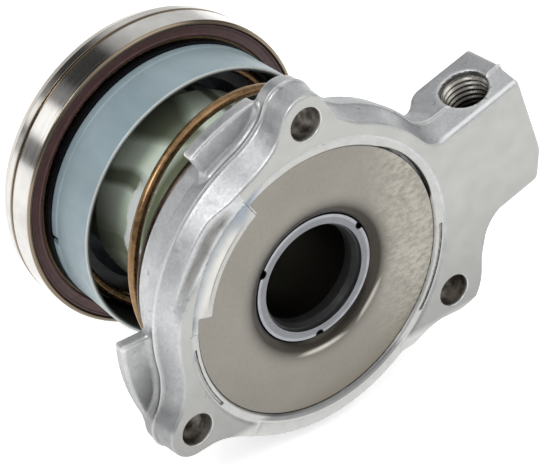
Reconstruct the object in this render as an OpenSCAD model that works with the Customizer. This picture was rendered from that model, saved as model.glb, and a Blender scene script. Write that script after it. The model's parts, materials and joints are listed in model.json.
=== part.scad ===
// Concentric slave cylinder for a hydraulic clutch.
// The shaft axis is +Y, from the mounting face at y = 0 towards the release bearing; +Z is up.
// Profiles are drawn as (radius, distance from the mounting face) and turned about the axis.

/* [Mounting flange] */
// Radius of the bolt circle
bolt_circle_r = 37; // [36:0.1:39]
// Diameter of each bolt hole
bolt_hole_d = 7; // [6:0.1:7.6]
// Angle of the first bolt ear
first_ear_angle = 90; // [86:1:94]
// Radius of an ear's rounded tip
ear_tip_r = 5.9; // [5.5:0.1:7]
// Half width of an ear where it joins the flange
ear_root_half = 9.8; // [8.5:0.1:11]
// Thickness of the ears
ear_depth = 9.4; // [8:0.1:9.8]
// Radius of the flange at its front edge
flange_front_r = 33.9; // [33:0.1:34.5]
// Radius of the flange at the casting's parting line
flange_r = 35.6; // [35:0.1:36.5]
// Radius of the flange at its back edge
flange_back_r = 35.2; // [34.6:0.1:36]
// Depth of the flange
flange_depth = 10; // [9.9:0.1:12]
// Depth of the parting line
parting_depth = 6; // [5:0.1:7]
// Height of the ridge along the parting line
ridge_height = 0.35; // [0.1:0.05:0.6]
// How far the flange face is relieved between the ears
face_relief = 1.8; // [1:0.1:2.4]
// Rounding of the cast edges
edge_round = 0.8; // [0.3:0.1:1.2]

/* [Wings] */
// Outer radius of the wings
wing_r = 41.7; // [39:0.1:43]
// Thickness of a wing at its edge
wing_edge = 2.8; // [2:0.1:3.5]
// How far the wings stand behind the flange
wing_step = 0.4; // [0.2:0.1:1]

/* [Spring boss] */
// Radius of the spring boss
boss_r = 31; // [30.5:0.1:33]
// Distance of the spring seat from the mounting face
boss_end = 17.5; // [15:0.1:18.5]
// Wall of the collar around the cylinder bore
collar_wall = 3.4; // [2.8:0.1:5]

/* [Port arm] */
// Angle of the arm
arm_angle = 14.5; // [8:0.5:16]
// Reach of the arm from the shaft axis
arm_reach = 56.2; // [54:0.1:64]
// Distance from the arm's centre line to its port side
arm_upper = 10.4; // [9:0.1:12]
// Distance from the arm's centre line to its lower side
arm_lower = 16.8; // [13:0.1:18]
// Depth of the arm
arm_depth = 15.5; // [13.5:0.1:17]
// Depth of the arm beside the flange
arm_root_depth = 12; // [11:0.1:14]
// Distance from the shaft axis where the arm reaches its full depth
arm_shoulder = 40; // [38:0.1:42]
// Length of the cut corner along the arm's end
arm_corner_end = 7; // [3:0.5:9]
// Length of the cut corner along the arm's lower side
arm_corner_side = 3; // [1:0.5:5]
// Radius of the fillets where the arm meets the flange
arm_fillet = 4; // [3:0.5:6]
// Outer radius of the web between the arm and the ear below it
web_r = 42.8; // [41:0.1:43.2]
// Distance of the port from the shaft axis
port_station = 47.2; // [46:0.1:49]
// Distance of the port's axis from the mounting face
port_height = 7.2; // [7:0.1:9]
// Core diameter of the port's thread
port_d = 8.9; // [7:0.1:9.6]
// Depth of the port
port_length = 15; // [12:0.5:17]
// Width of the chamfer at the port's mouth
port_chamfer = 0.9; // [0.3:0.1:1.2]
// Diameter of the drilled gallery from the port to the cylinder
gallery_d = 2.4; // [1.8:0.1:2.8]

/* [Guide sleeve] */
// Radius of the sleeve's flange
plate_r = 28.8; // [28.4:0.1:29.4]
// Thickness of the sleeve's flange
plate_sheet = 1.5; // [1.2:0.1:1.8]
// How far the flange lies behind the mounting face
plate_inset = 0.9; // [0.8:0.05:1.2]
// Depth of the shallow funnel around the shaft
funnel_depth = 0.4; // [0.1:0.1:0.6]
// Outer radius of the funnel
funnel_r = 20; // [18:0.1:22]
// Outer radius of the tube
tube_r = 14.5; // [14.2:0.05:14.8]
// Wall of the tube
tube_wall = 0.8; // [0.6:0.05:1]
// Bend radius between the tube and the flange, on the shaft side
bend_r = 2; // [1.6:0.1:2.4]
// Outer radius of the casting's lip around the flange
lip_r = 30.6; // [30.2:0.1:31.2]
// Radius to which the lip is rolled over the flange on one side
crimp_r = 26.2; // [25:0.1:27]

/* [Shaft seal] */
// Radial room of the shaft seal between the shaft and the tube
seal_room = 3; // [2.8:0.05:3.4]
// Distance of the seal from the mounting face
seal_front = 2.4; // [2:0.1:4]
// Length of the seal case
seal_length = 6; // [5.5:0.1:8]
// Sheet of the seal case
seal_sheet = 0.8; // [0.6:0.05:0.9]
// Radius of the wire ring that tensions the lip
garter_r = 0.55; // [0.4:0.05:0.6]

/* [Piston] */
// Stroke of the piston
stroke = 10; // [8:0.5:11]
// Radius of the piston's barrel
piston_r = 21; // [20.7:0.05:21.2]
// Length of the barrel
barrel_length = 26; // [25:0.1:29]
// Wall of the nose
nose_wall = 2.4; // [1.8:0.1:2.8]
// Length of the nose
nose_length = 10.3; // [9:0.1:12]
// Room around the tube inside the nose
nose_room = 2.1; // [1.9:0.05:2.5]
// Length of the barrel's guide on the tube
guide_length = 20.5; // [16:0.1:22]
// Length of the piston held in the bore at full stroke
engagement = 2.8; // [2.5:0.1:4]
// Height of the lip seal
lip_seal_h = 2.6; // [2.2:0.1:3.2]
// Height of the seal's support ring
support_h = 1.6; // [1.2:0.1:2.4]

/* [Preload spring] */
// Diameter of the spring wire
wire_d = 2.2; // [1.6:0.1:2.4]
// Mean radius of the coil on the housing
spring_seat_r = 29.2; // [28.6:0.1:29.6]
// Mean radius of the coil in the cup
spring_cup_r = 26; // [25.4:0.1:26.6]
// Active turns of the spring
spring_turns = 1.15; // [1:0.05:1.6]
// Angle at which the wire leaves its seat
spring_takeoff = 228; // [200:1:290]

/* [Spring cup] */
// How far the cup flares from its floor to its rim
cup_flare = 0.5; // [0.2:0.1:1]
// How far the cup's floor lies inside the rear land of the bearing's inner ring
cup_inset = 0.3; // [0.1:0.05:0.6]
// Depth of the cup
cup_depth = 13.1; // [11:0.1:15]
// Sheet of the cup
cup_sheet = 1; // [0.7:0.05:1.2]
// Width of the notch in the cup's edge
cup_notch = 1.6; // [0.8:0.1:3]

/* [Release bearing] */
// Radial room of the outer ring outside the circle through the ball centres
ring_room = 5.1; // [4.8:0.1:5.2]
// Length of the inner ring behind its thrust flange
inner_ring_length = 7.1; // [6.8:0.1:8]
// Thickness of the inner ring's thrust flange
thrust_flange = 2.2; // [1.8:0.1:2.4]
// Play of the inner ring around the piston's nose
centring_play = 3.5; // [3:0.1:3.7]
// Radius of the circle through the ball centres
ball_pitch_r = 28.7; // [28.6:0.05:28.9]
// Diameter of a ball
ball_d = 6.6; // [6.2:0.1:6.8]
// Number of balls
ball_count = 20; // [12:1:21]
// Thickness of the contact face in front of the balls
contact_wall = 2.4; // [1.8:0.1:3.5]
// Height of the seals of the bearing
bearing_seal_h = 0.8; // [0.5:0.1:1]

/* [Fits] */
// Radial clearance of sliding fits
slide_fit = 0.06; // [0.03:0.01:0.1]
// Radial clearance of pressed and laid-in pieces
seat_fit = 0.02; // [0.01:0.01:0.05]
// Clearance around the balls
ball_fit = 0.15; // [0.1:0.01:0.25]
// Gap between pieces that turn past each other
running_gap = 0.4; // [0.3:0.05:0.6]

/* [Hidden] */
$fn = 96;
past = 1;
// How far pieces that run into each other smoothly overlap
sink = 0.12;
ear_count = 3;
ear_angles = [for (i = [0 : ear_count - 1]) first_ear_angle + i * 360 / ear_count];
// The relieved stretches of the flange face, and the stretch where the lip is rolled over
left_relief = [first_ear_angle + 30, first_ear_angle + 84];
lower_relief = [first_ear_angle + 143, first_ear_angle + 220];
crimp_span = [first_ear_angle + 29, first_ear_angle + 78];
// Each wing lies between an ear and the gap on the left
wing_spans = [
    [first_ear_angle + 8, first_ear_angle + 31],
    [first_ear_angle + 87, first_ear_angle + 115]
];
ear_root_r = 31;
ear_tip_shift = 1;
web_step = 0.4;
web_depth = ear_depth - web_step;
wing_root = 2;
wing_root_r = flange_r - wing_root;
wing_back = flange_depth + wing_step;
wing_scoop = 1.4;
mouth_gap = 0.15;

// Stations along the axis, from the mounting face
plate_back = plate_inset + plate_sheet;
tube_in_r = tube_r - tube_wall;
shaft_r = tube_in_r - seal_room;
nose_bore_r = tube_r + nose_room;
nose_r = nose_bore_r + nose_wall;
o_ring_r = 24.2;
o_ring_groove_w = 2.2;
o_ring_groove_h = 1.2;
o_ring_side_gap = 0.2;
gallery_wall = 0.5;
gallery_land = 0.3;
gallery_z = plate_back + o_ring_groove_h + gallery_wall + gallery_d / 2;
back_bend_r = bend_r - tube_wall;
seal_rear = gallery_z + gallery_d / 2 + gallery_land + stroke;
piston_rear = seal_rear + lip_seal_h + support_h;
barrel_end = piston_rear + barrel_length;
nose_end = barrel_end + nose_length;
collar_end = piston_rear + engagement;
bore_r = piston_r + slide_fit;
collar_r = bore_r + collar_wall;
guide_end = piston_rear + guide_length;
wiper_groove_w = 1.5;
wiper_h = 1.4;
wiper_lip = 0.8;
wiper_z = collar_end - wiper_lip;

// The stop ring lies in a groove of the tube, just ahead of the piston's guide
stop_gap = 0.1;
stop_ring_h = 1.2;
stop_groove = 0.4;
stop_ring_w = 1.9;
stop_ring_r = tube_r - stop_groove + stop_ring_w;
stop_rear = guide_end + stop_gap;
tube_rim = 1.4;
tube_end = stop_rear + stop_ring_h + tube_rim;

// The bearing follows the nose of the piston
ring_rear = nose_end - inner_ring_length;
flange_front = nose_end + thrust_flange;
ring_bore_r = nose_r + centring_play;
bearing_r = ball_pitch_r + ring_room;
ball_r = ball_d / 2;
race_r = ball_r + ball_fit;
ball_inset = 2.5;
ball_z = flange_front - ball_inset;
race_overlap = 0.35;
contact_rear = ball_z + race_r - race_overlap / 2;
bearing_front = contact_rear + contact_wall;
rear_step = 1.3;
bearing_rear = ring_rear + rear_step;
rear_land = 1;
rear_land_r = ball_pitch_r + rear_land;
inner_shoulder = 1.5;
inner_shoulder_r = ball_pitch_r - inner_shoulder;
inner_lip_r = ball_pitch_r - race_r + race_overlap;
outer_shoulder = 2.3;
outer_shoulder_r = ball_pitch_r + outer_shoulder;
outer_mouth_r = inner_lip_r + running_gap / 2;
seal_seat = 1.7;
rear_seal_r = outer_shoulder_r + seal_seat;
seal_inset = 0.3;
rear_seal_z = bearing_rear + seal_inset;

// The clip holds the wave washer and the thrust flange on the nose
washer_h = 0.4;
clip_flange_h = 0.8;
clip_fit = 0.1;
clip_r = nose_bore_r - clip_fit;
clip_wall = 0.8;
clip_hook = 0.45;
hook_h = 1;
hook_depth = 2;
clip_play = 0.8;
washer_r = nose_r + washer_h;
clip_front = flange_front + washer_h + clip_flange_h;
hook_groove = clip_hook + clip_fit;

// The cup lies against the inner ring
cup_floor = ring_rear - cup_sheet;
cup_rim = ring_rear - cup_depth;
cup_floor_r = rear_land_r - cup_inset;
cup_rim_r = cup_floor_r + cup_flare;
cup_bend = 1.2;
cup_hole_r = ring_bore_r + clip_fit;

// Points of an arc in the plane of a profile
function arc(centre, r, from, to, steps = 8) =
    [for (i = [0 : steps]) let (a = from + (to - from) * i / steps) centre + r * [cos(a), sin(a)]];

// Point where a line from p touches a circle, on the side of p that has the larger y
function touch(centre, r, p) =
    let (d = p - centre, turn = acos(r / norm(d)), a = atan2(d[1], d[0]) - turn)
    centre + r * [cos(a), sin(a)];

// Lays the working axis along +Y
module axial() {
    rotate([-90, 0, 0]) children();
}

// Turns children to an angle seen from the mounting side, counted from +X towards +Z
module at_angle(angle) {
    rotate([0, 0, -angle]) children();
}

// Turns a profile about the axis
module revolve(points) {
    rotate_extrude() polygon(points);
}

// Turns a profile about the axis between two angles
module sector(span, points) {
    rotate([0, 0, -span[1]]) rotate_extrude(angle = span[1] - span[0]) polygon(points);
}

// A plain ring between two radii and two stations
module ring(r_in, r_out, z0, z1) {
    revolve([[r_in, z0], [r_out, z0], [r_out, z1], [r_in, z1]]);
}

module housing_turned() {
    ridge_half = ridge_height;
    boss_fillet = 1.2;
    revolve([
        [0, 0],
        [flange_front_r - edge_round, 0],
        [flange_front_r, edge_round],
        [flange_r, parting_depth - ridge_half],
        [flange_r + ridge_height, parting_depth],
        [flange_r, parting_depth + ridge_half],
        [flange_back_r, flange_depth - edge_round],
        [flange_back_r - edge_round, flange_depth],
        [boss_r + boss_fillet, flange_depth],
        [boss_r, flange_depth + boss_fillet],
        [boss_r, boss_end - edge_round / 2],
        [boss_r - edge_round / 2, boss_end],
        [collar_r, boss_end],
        [collar_r, collar_end],
        [0, collar_end]
    ]);
}

module housing_ear() {
    tip = [bolt_circle_r + ear_tip_shift, 0];
    root = [ear_root_r, ear_root_half];
    side = touch(tip, ear_tip_r - sink, root);
    translate([tip[0], 0, 0]) cylinder(r = ear_tip_r, h = ear_depth);
    linear_extrude(ear_depth)
        polygon([[root[0], -root[1]], [side[0], -side[1]], side, root]);
}

module housing_wing(span) {
    ridge_r = flange_r + ridge_height;
    wing_front = wing_back - wing_edge;
    scoop = [ridge_r + wing_scoop, wing_front - wing_scoop];
    sector(span, concat(
        [[wing_root_r, wing_back], [wing_root_r, parting_depth], [ridge_r, parting_depth]],
        arc(scoop, wing_scoop, 180, 90, 6),
        [[wing_r, wing_front], [wing_r, wing_back]]
    ));
}

// The arm is drawn along +x with its port side towards -y
module housing_arm() {
    inner = bore_r + 1;
    difference() {
        linear_extrude(arm_depth)
            polygon([
                [inner, -arm_upper],
                [arm_reach, -arm_upper],
                [arm_reach, arm_lower - arm_corner_end],
                [arm_reach - arm_corner_side, arm_lower],
                [inner, arm_lower]
            ]);
        translate([0, arm_lower + past, 0]) rotate([90, 0, 0])
            linear_extrude(arm_upper + arm_lower + 2 * past)
            polygon([
                [inner - past, arm_root_depth],
                [arm_shoulder - (arm_depth - arm_root_depth), arm_root_depth],
                [arm_shoulder + past, arm_depth + past],
                [inner - past, arm_depth + past]
            ]);
    }
    upper_fillet_y = arm_upper + arm_fillet;
    upper_fillet_x = sqrt(pow(flange_r + arm_fillet - sink, 2) - pow(upper_fillet_y, 2));
    upper_angle = atan2(upper_fillet_y, upper_fillet_x);
    linear_extrude(web_depth)
        polygon(concat(
            arc([upper_fillet_x, -upper_fillet_y], arm_fillet, 180 - upper_angle, 90),
            [[upper_fillet_x, 0], [inner, 0], [inner, -arm_upper]]
        ));
    lower_fillet_y = arm_lower + arm_fillet;
    lower_fillet_x = sqrt(pow(web_r + arm_fillet - sink, 2) - pow(lower_fillet_y, 2));
    lower_angle = atan2(lower_fillet_y, lower_fillet_x);
    linear_extrude(web_depth - web_step)
        polygon(concat(
            arc([lower_fillet_x, lower_fillet_y], arm_fillet, 180 + lower_angle, 270),
            [[lower_fillet_x, 0], [inner, 0], [inner, arm_lower]]
        ));
}

module housing_port() {
    translate([port_station, -arm_upper, port_height]) rotate([-90, 0, 0]) {
        cylinder(d = port_d, h = port_length);
        translate([0, 0, -past])
            cylinder(d1 = port_d + 2 * (port_chamfer + past), d2 = port_d, h = port_chamfer + past);
    }
}

// The gallery runs slantwise from the port to the chamber behind the piston
module housing_gallery() {
    port_z = port_height + gallery_d / 2;
    slope = atan2(port_z - gallery_z, port_station - bore_r);
    length = (port_station - bore_r + past) / cos(slope);
    translate([port_station, 0, port_z]) rotate([0, -(90 + slope), 0]) cylinder(d = gallery_d, h = length);
}

// Room for the sleeve's flange: open in front, except where the lip is rolled over it
module housing_recess() {
    mouth_r = plate_r + seat_fit + mouth_gap;
    mouth_z = plate_inset + plate_sheet / 4;
    open_span = [crimp_span[1], crimp_span[0] + 360];
    translate([0, 0, plate_inset]) cylinder(r = plate_r + seat_fit, h = plate_sheet);
    translate([0, 0, -past]) cylinder(r = crimp_r, h = past + mouth_z);
    sector(open_span, [
        [crimp_r - past, -past], [mouth_r, -past],
        [mouth_r, mouth_z - mouth_gap], [crimp_r - past, mouth_z - mouth_gap]
    ]);
}

module housing() {
    crimp_land = 1.1;
    lip_slope = 0.9;
    outside = arm_reach + arm_lower;
    web_span = [ear_angles[2] - 360, arm_angle];
    color("#c6c7c5") axial() difference() {
        union() {
            housing_turned();
            for (a = ear_angles) at_angle(a) housing_ear();
            for (span = wing_spans) housing_wing(span);
            at_angle(arm_angle) housing_arm();
            sector(web_span, [[ear_root_r, 0], [web_r, 0], [web_r, web_depth], [ear_root_r, web_depth]]);
        }
        translate([0, 0, -past]) cylinder(r = bore_r, h = collar_end + 2 * past);
        housing_recess();
        ring(o_ring_r - o_ring_groove_w / 2, o_ring_r + o_ring_groove_w / 2,
             plate_back - plate_sheet / 2, plate_back + o_ring_groove_h);
        ring(bore_r - past, bore_r + wiper_groove_w, wiper_z - wiper_h, wiper_z);
        for (a = ear_angles) at_angle(a) translate([bolt_circle_r, 0, -past])
            cylinder(d = bolt_hole_d, h = flange_depth + 2 * past);
        at_angle(arm_angle) housing_port();
        at_angle(arm_angle) housing_gallery();
        sector(left_relief, [
            [crimp_r + crimp_land, -past], [crimp_r + crimp_land, 0], [lip_r, lip_slope],
            [lip_r, face_relief], [outside, face_relief], [outside, -past]
        ]);
        sector(lower_relief, [
            [lip_r, -past], [lip_r, face_relief], [outside, face_relief], [outside, -past]
        ]);
    }
}

module guide_sleeve() {
    funnel_z = plate_inset + funnel_depth;
    front_bend = [tube_in_r + bend_r, funnel_z + bend_r];
    back_bend = [tube_r + back_bend_r, plate_back + back_bend_r];
    color("#a09a8e") axial() revolve(concat(
        [[plate_r, plate_back], [plate_r, plate_inset], [funnel_r, plate_inset]],
        arc(front_bend, bend_r, -90, -180),
        [
            [tube_in_r, tube_end], [tube_r, tube_end],
            [tube_r, stop_rear + stop_ring_h], [tube_r - stop_groove, stop_rear + stop_ring_h],
            [tube_r - stop_groove, stop_rear], [tube_r, stop_rear]
        ],
        arc(back_bend, back_bend_r, 180, 270)
    ));
}

module sleeve_o_ring() {
    half = o_ring_groove_w / 2 - o_ring_side_gap;
    bulge = 0.3;
    mid = plate_back + o_ring_groove_h / 2;
    color("#1c1c1c") axial() revolve([
        [o_ring_r - half + bulge, plate_back], [o_ring_r + half - bulge, plate_back],
        [o_ring_r + half, mid],
        [o_ring_r + half - bulge, plate_back + o_ring_groove_h],
        [o_ring_r - half + bulge, plate_back + o_ring_groove_h],
        [o_ring_r - half, mid]
    ]);
}

seal_out_r = tube_in_r - seat_fit;
seal_in_r = seal_out_r - seal_sheet;
seal_lip_front = seal_front + seal_sheet;
lip_web = 1.2;
lip_land_z = seal_lip_front + lip_web;
lip_land_h = 2;
lip_wall = 0.8;
lip_bevel = 0.5;
garter_fit = 0.1;

module shaft_seal_case() {
    notch_r = 0.8;
    face_r = shaft_r + 1;
    color("#9a9ca0") axial() difference() {
        revolve([
            [face_r, seal_front], [seal_out_r, seal_front], [seal_out_r, seal_front + seal_length],
            [seal_in_r, seal_front + seal_length], [seal_in_r, seal_lip_front], [face_r, seal_lip_front]
        ]);
        for (a = ear_angles) at_angle(a + 60) translate([seal_out_r, 0, seal_front - past])
            cylinder(r = notch_r, h = seal_sheet + past);
    }
}

module shaft_seal_lip() {
    lip_back = lip_land_z + lip_land_h;
    rubber_r = seal_in_r - seat_fit;
    color("#161616") axial() revolve([
        [rubber_r, seal_lip_front], [rubber_r, seal_lip_front + lip_web],
        [shaft_r + lip_wall, seal_lip_front + lip_web], [shaft_r + lip_wall, lip_back + lip_bevel],
        [shaft_r + lip_bevel, lip_back + lip_bevel], [shaft_r, lip_back],
        [shaft_r, lip_land_z], [shaft_r + lip_bevel, seal_lip_front]
    ]);
}

// The tension ring lies behind the lip, between the rubber and the case
module garter_spring() {
    mid_r = shaft_r + lip_wall + garter_fit + garter_r;
    color("#b0b0b0") axial() rotate_extrude()
        translate([mid_r, lip_land_z + lip_land_h / 2 + garter_r]) circle(r = garter_r, $fn = 24);
}

module piston_wiper() {
    z0 = wiper_z - wiper_h;
    root_r = bore_r + wiper_groove_w / 3;
    color("#202020") axial() revolve([
        [bore_r + wiper_groove_w, z0], [bore_r + wiper_groove_w, wiper_z],
        [bore_r, wiper_z], [root_r, (z0 + wiper_z) / 2], [root_r, z0]
    ]);
}

module stop_ring() {
    gap_angle = 20;
    front = stop_rear + stop_ring_h;
    color("#8c8f94") axial() difference() {
        ring(tube_r - stop_groove + seat_fit, stop_ring_r, stop_rear, front);
        sector([-gap_angle / 2, gap_angle / 2], [
            [tube_r - past, stop_rear - past], [stop_ring_r + past, stop_rear - past],
            [stop_ring_r + past, front + past], [tube_r - past, front + past]
        ]);
    }
}

module piston() {
    bore = tube_r + slide_fit;
    barrel_chamfer = 0.8;
    nose_chamfer = 0.6;
    groove_z = nose_end - hook_depth - hook_h;
    color("#b5cbb5") axial() revolve([
        [bore, piston_rear], [piston_r, piston_rear],
        [piston_r, barrel_end - barrel_chamfer], [piston_r - barrel_chamfer, barrel_end],
        [nose_r, barrel_end], [nose_r, nose_end - nose_chamfer], [nose_r - nose_chamfer, nose_end],
        [nose_bore_r, nose_end], [nose_bore_r, nose_end - hook_depth],
        [nose_bore_r + hook_groove, nose_end - hook_depth], [nose_bore_r + hook_groove, groove_z],
        [nose_bore_r, groove_z], [nose_bore_r, guide_end], [bore, guide_end]
    ]);
}

module seal_support_ring() {
    color("#d8d2c0") axial()
        ring(tube_r + running_gap, piston_r - running_gap / 2, piston_rear - support_h, piston_rear);
}

// Two lips open towards the pressure, one on the tube and one in the bore
module piston_seal() {
    in_r = tube_r + slide_fit;
    lip = 1.4;
    edge = 0.3;
    z1 = seal_rear + lip_seal_h;
    root = seal_rear + lip_seal_h / 2;
    mid_r = (in_r + piston_r) / 2;
    color("#181818") axial() revolve([
        [in_r, z1], [in_r, seal_rear + edge], [in_r + edge, seal_rear], [in_r + lip, seal_rear],
        [mid_r, root],
        [piston_r - lip, seal_rear], [piston_r - edge, seal_rear],
        [piston_r, seal_rear + edge], [piston_r, z1]
    ]);
}

// The wire lies flat on its seat, climbs to the cup and lies flat again
wire_r = wire_d / 2;
wire_sides = 10;
flat_sweep = 318;
climb_sweep = spring_turns * 360;
wire_step = 9;
wire_low = boss_end + wire_r;
wire_high = cup_floor - wire_r;
wire_rings = round((2 * flat_sweep + climb_sweep) / wire_step);

function wire_share(sweep) = min(1, max(0, (sweep - flat_sweep) / climb_sweep));
function wire_point(sweep) =
    let (
        share = wire_share(sweep),
        r = spring_seat_r + (spring_cup_r - spring_seat_r) * share,
        a = sweep - flat_sweep - spring_takeoff
    )
    [r * cos(a), r * sin(a), wire_low + (wire_high - wire_low) * share];
function unit(v) = v / norm(v);
function wire_ring(sweep) =
    let (
        p = wire_point(sweep),
        along = unit(wire_point(sweep + 1) - wire_point(sweep - 1)),
        out = unit([p[0], p[1], 0]),
        side = unit(cross(along, out))
    )
    [for (i = [0 : wire_sides - 1]) let (a = i * 360 / wire_sides)
        p + wire_r * (cos(a) * unit(cross(side, along)) + sin(a) * side)];

module preload_spring() {
    sweeps = [for (i = [0 : wire_rings]) (2 * flat_sweep + climb_sweep) * i / wire_rings];
    points = [for (s = sweeps) each wire_ring(s)];
    walls = [for (k = [0 : wire_rings - 1]) for (i = [0 : wire_sides - 1])
        let (j = (i + 1) % wire_sides, a = k * wire_sides)
        [a + i, a + j, a + wire_sides + j, a + wire_sides + i]];
    start = [[for (i = [wire_sides - 1 : -1 : 0]) i]];
    end = [[for (i = [0 : wire_sides - 1]) wire_rings * wire_sides + i]];
    color("#8a6236") axial() polyhedron(points = points, faces = concat(walls, start, end));
}

module spring_cup() {
    notch_angle = 180;
    notch_depth = 1.2;
    notch_h = 2.4;
    outer_bend = [cup_floor_r - cup_bend, ring_rear - cup_bend];
    inner_bend_r = cup_bend * 0.4;
    inner_bend = [cup_floor_r - cup_sheet - inner_bend_r, cup_floor - inner_bend_r];
    color("#a9c0c8") axial() difference() {
        revolve(concat(
            [[cup_rim_r - cup_sheet, cup_rim], [cup_rim_r, cup_rim]],
            arc(outer_bend, cup_bend, 0, 90, 5),
            [[cup_hole_r, ring_rear], [cup_hole_r, cup_floor]],
            arc(inner_bend, inner_bend_r, 90, 0, 3)
        ));
        at_angle(notch_angle) translate([cup_floor_r - notch_depth, -cup_notch / 2, ring_rear - notch_h])
            cube([notch_depth + past, cup_notch, notch_h + past]);
    }
}

module ball_race() {
    translate([ball_pitch_r, ball_z]) circle(r = race_r);
}

module bearing_inner_ring() {
    land_h = 2;
    flange_hole_r = clip_r + clip_play;
    color("#5b5d60") axial() rotate_extrude() difference() {
        polygon([
            [ring_bore_r, ring_rear], [rear_land_r, ring_rear], [rear_land_r, ring_rear + land_h],
            [inner_shoulder_r, ring_rear + land_h], [inner_shoulder_r, ball_z],
            [inner_lip_r, ball_z], [inner_lip_r, flange_front],
            [flange_hole_r, flange_front], [flange_hole_r, nose_end], [ring_bore_r, nose_end]
        ]);
        ball_race();
    }
}

module bearing_cage() {
    cage_back = 0.8;
    cage_fingers = 1.6;
    cage_in_r = inner_shoulder_r + running_gap;
    cage_out_r = outer_shoulder_r - running_gap;
    color("#c9a86a") axial() difference() {
        ring(cage_in_r, cage_out_r, ball_z - race_r - cage_back, ball_z + cage_fingers);
        for (i = [0 : ball_count - 1]) rotate([0, 0, i * 360 / ball_count])
            translate([ball_pitch_r, 0, ball_z]) sphere(r = race_r, $fn = 48);
    }
}

module bearing_balls() {
    color("#d0d3d6") axial() for (i = [0 : ball_count - 1]) rotate([0, 0, i * 360 / ball_count])
        translate([ball_pitch_r, 0, ball_z]) sphere(r = ball_r, $fn = 48);
}

module bearing_outer_ring() {
    rear_edge = 0.5;
    crown_r = 2.9;
    groove = 0.45;
    groove_z = bearing_front - crown_r - 4 * groove;
    shoulder_z = rear_seal_z + bearing_seal_h + seal_inset;
    crown = [bearing_r - crown_r, bearing_front - crown_r];
    color("#b9b6ae") axial() rotate_extrude() difference() {
        polygon(concat(
            [
                [outer_mouth_r, contact_rear], [ball_pitch_r, contact_rear], [outer_shoulder_r, ball_z],
                [outer_shoulder_r, shoulder_z], [rear_seal_r, shoulder_z], [rear_seal_r, bearing_rear],
                [bearing_r - rear_edge, bearing_rear], [bearing_r, bearing_rear + rear_edge],
                [bearing_r, groove_z - groove], [bearing_r - groove, groove_z - groove / 2],
                [bearing_r - groove, groove_z + groove / 2], [bearing_r, groove_z + groove]
            ],
            arc(crown, crown_r, 0, 90),
            [[outer_mouth_r + rear_edge, bearing_front], [outer_mouth_r, bearing_front - rear_edge]]
        ));
        ball_race();
    }
}

module rear_bearing_seal() {
    in_r = rear_land_r + running_gap;
    out_r = rear_seal_r - seat_fit;
    edge = 0.2;
    color("#4b3030") axial() revolve([
        [in_r, rear_seal_z + edge], [in_r + edge, rear_seal_z], [out_r, rear_seal_z],
        [out_r, rear_seal_z + bearing_seal_h], [in_r, rear_seal_z + bearing_seal_h]
    ]);
}

module front_bearing_seal() {
    z0 = contact_rear + running_gap;
    in_r = washer_r + 2 * running_gap;
    color("#3a3d42") axial() ring(in_r, outer_mouth_r - seat_fit, z0, z0 + bearing_seal_h);
}

module wave_washer() {
    color("#7d8188") axial()
        ring(clip_r + clip_play / 2, washer_r, flange_front, flange_front + washer_h);
}

module retaining_clip() {
    in_r = clip_r - clip_wall;
    hook_rear = nose_end - hook_depth - hook_h + clip_fit;
    hook_front = nose_end - hook_depth - seat_fit;
    color("#26282b") axial() revolve([
        [in_r, hook_rear], [clip_r, hook_rear], [clip_r + clip_hook, hook_front - hook_h / 2],
        [clip_r + clip_hook, hook_front], [clip_r, hook_front],
        [clip_r, clip_front - clip_flange_h], [washer_r, clip_front - clip_flange_h],
        [washer_r, clip_front], [in_r, clip_front]
    ]);
}

housing();
guide_sleeve();
sleeve_o_ring();
shaft_seal_case();
shaft_seal_lip();
garter_spring();
piston_wiper();
stop_ring();
piston();
seal_support_ring();
piston_seal();
preload_spring();
spring_cup();
bearing_inner_ring();
bearing_cage();
bearing_balls();
bearing_outer_ring();
rear_bearing_seal();
front_bearing_seal();
wave_washer();
retaining_clip();
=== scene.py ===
"""Looks of a concentric slave cylinder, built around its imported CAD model.

The row frame has the shaft axis along +Y, from the mounting face at y = 0 to the release bearing.
Shapes are worked out in millimetres and become metres when they are turned into meshes.
"""

import json
import math

import bpy
import numpy as np
import openvdb
from mathutils import Matrix, Vector


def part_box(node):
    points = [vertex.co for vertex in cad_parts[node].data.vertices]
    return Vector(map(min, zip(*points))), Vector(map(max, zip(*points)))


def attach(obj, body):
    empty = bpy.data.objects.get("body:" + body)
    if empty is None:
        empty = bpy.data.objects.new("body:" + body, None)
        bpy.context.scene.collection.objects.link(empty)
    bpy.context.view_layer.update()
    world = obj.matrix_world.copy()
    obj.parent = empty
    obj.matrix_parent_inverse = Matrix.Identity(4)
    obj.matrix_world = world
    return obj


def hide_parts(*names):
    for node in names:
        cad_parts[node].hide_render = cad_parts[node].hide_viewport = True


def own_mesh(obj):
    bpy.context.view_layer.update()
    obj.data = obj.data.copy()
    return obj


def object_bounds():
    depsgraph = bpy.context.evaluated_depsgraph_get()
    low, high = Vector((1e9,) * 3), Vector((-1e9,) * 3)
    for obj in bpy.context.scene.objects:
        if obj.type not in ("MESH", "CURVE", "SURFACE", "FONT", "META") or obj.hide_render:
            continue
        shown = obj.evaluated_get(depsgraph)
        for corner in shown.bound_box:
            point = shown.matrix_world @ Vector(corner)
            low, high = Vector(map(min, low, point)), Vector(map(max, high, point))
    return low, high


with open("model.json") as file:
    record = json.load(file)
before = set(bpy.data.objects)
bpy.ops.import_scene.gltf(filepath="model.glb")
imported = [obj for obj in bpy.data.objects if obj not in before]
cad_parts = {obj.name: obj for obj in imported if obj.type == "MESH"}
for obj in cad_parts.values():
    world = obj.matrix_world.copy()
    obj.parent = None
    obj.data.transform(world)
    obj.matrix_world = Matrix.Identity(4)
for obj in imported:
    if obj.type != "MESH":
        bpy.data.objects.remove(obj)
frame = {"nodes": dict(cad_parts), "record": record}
cad_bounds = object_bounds()
nodes = frame["nodes"]
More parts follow.
